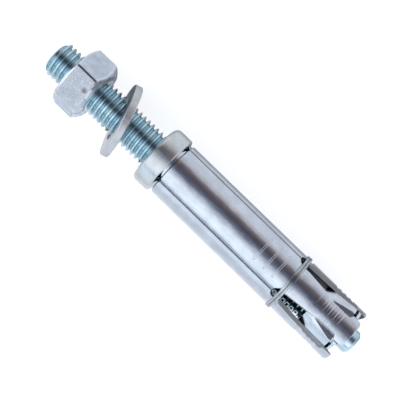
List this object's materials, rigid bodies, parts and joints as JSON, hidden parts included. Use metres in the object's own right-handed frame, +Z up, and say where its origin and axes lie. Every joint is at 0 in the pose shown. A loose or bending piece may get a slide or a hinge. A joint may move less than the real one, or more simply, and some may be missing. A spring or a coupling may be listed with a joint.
{
  "type": "stud anchor",
  "caption": "Expanding masonry anchor: threaded stud with nut and loose washer, ferrule, four sleeve leaves held by a wire ring, and a wedge nut that spreads them.",
  "frame": {"origin": "on the stud's axis at the middle of the ferrule's straight outside wall, which is the middle of mount hole_fit", "axes": "+X along the stud towards the wedge nut, +Z up from the lying part, +Y to the left looking along +X"},
  "size_m": [0.1255, 0.0236, 0.0238],
  "materials": {
    "stud_zinc": "bright blue zinc plate",
    "nut_zinc": "bright zinc plate, lightly spotted",
    "washer_zinc": "satin zinc plate",
    "ferrule_zinc": "satin zinc plate",
    "shield_zinc": "bright zinc plate",
    "ring_wire": "bright wire",
    "wedge_zinc": "satin zinc plate"
  },
  "bodies": {
    "sleeve": {"ferrule": "ferrule_zinc", "retaining_ring": "ring_wire"},
    "nut": {"hex_nut": "nut_zinc"},
    "stud": {"stud": "stud_zinc", "expander_cone": "wedge_zinc"},
    "washer": {"washer": "washer_zinc"},
    "segment_1": {"shield_segment_1": "shield_zinc"},
    "segment_2": {"shield_segment_2": "shield_zinc"},
    "segment_3": {"shield_segment_3": "shield_zinc"},
    "segment_4": {"shield_segment_4": "shield_zinc"}
  },
  "joints": [
    {"name": "nut_turn", "type": "hinge", "parent": "sleeve", "child": "nut", "pos_m": [-0.03275, 0, 0], "axis": [1, 0, 0], "range_deg": [0, 1802]},
    {"name": "stud_draw", "type": "slide", "parent": "sleeve", "child": "stud", "axis": [-1, 0, 0], "range_m": [0, 0.00875]},
    {"name": "washer_slide", "type": "slide", "parent": "sleeve", "child": "washer", "axis": [1, 0, 0], "range_m": [-0.0045, 0.0081]},
    {"name": "segment_1_spread", "type": "hinge", "parent": "sleeve", "child": "segment_1", "pos_m": [-0.0002, 0.00159, 0.00784], "axis": [0, -0.9799, 0.1994], "range_deg": [0, 0.475], "deforming": ["retaining_ring"]},
    {"name": "segment_2_spread", "type": "hinge", "parent": "sleeve", "child": "segment_2", "pos_m": [-0.0002, 0.00784, -0.00159], "axis": [0, 0.1994, 0.9799], "range_deg": [0, 0.475]},
    {"name": "segment_3_spread", "type": "hinge", "parent": "sleeve", "child": "segment_3", "pos_m": [-0.0002, -0.00159, -0.00784], "axis": [0, 0.9799, -0.1994], "range_deg": [0, 0.475]},
    {"name": "segment_4_spread", "type": "hinge", "parent": "sleeve", "child": "segment_4", "pos_m": [-0.0002, -0.00784, 0.00159], "axis": [0, -0.1994, -0.9799], "range_deg": [0, 0.475]}
  ],
  "couplings": [
    {"joint": "nut_turn", "follows": "stud_draw", "rad_per_m": 3590.4},
    {"joint": "segment_1_spread", "follows": "stud_draw", "rad_per_m": 0.93749},
    {"joint": "segment_2_spread", "follows": "stud_draw", "rad_per_m": 0.93749},
    {"joint": "segment_3_spread", "follows": "stud_draw", "rad_per_m": 0.93749},
    {"joint": "segment_4_spread", "follows": "stud_draw", "rad_per_m": 0.93749}
  ]
}
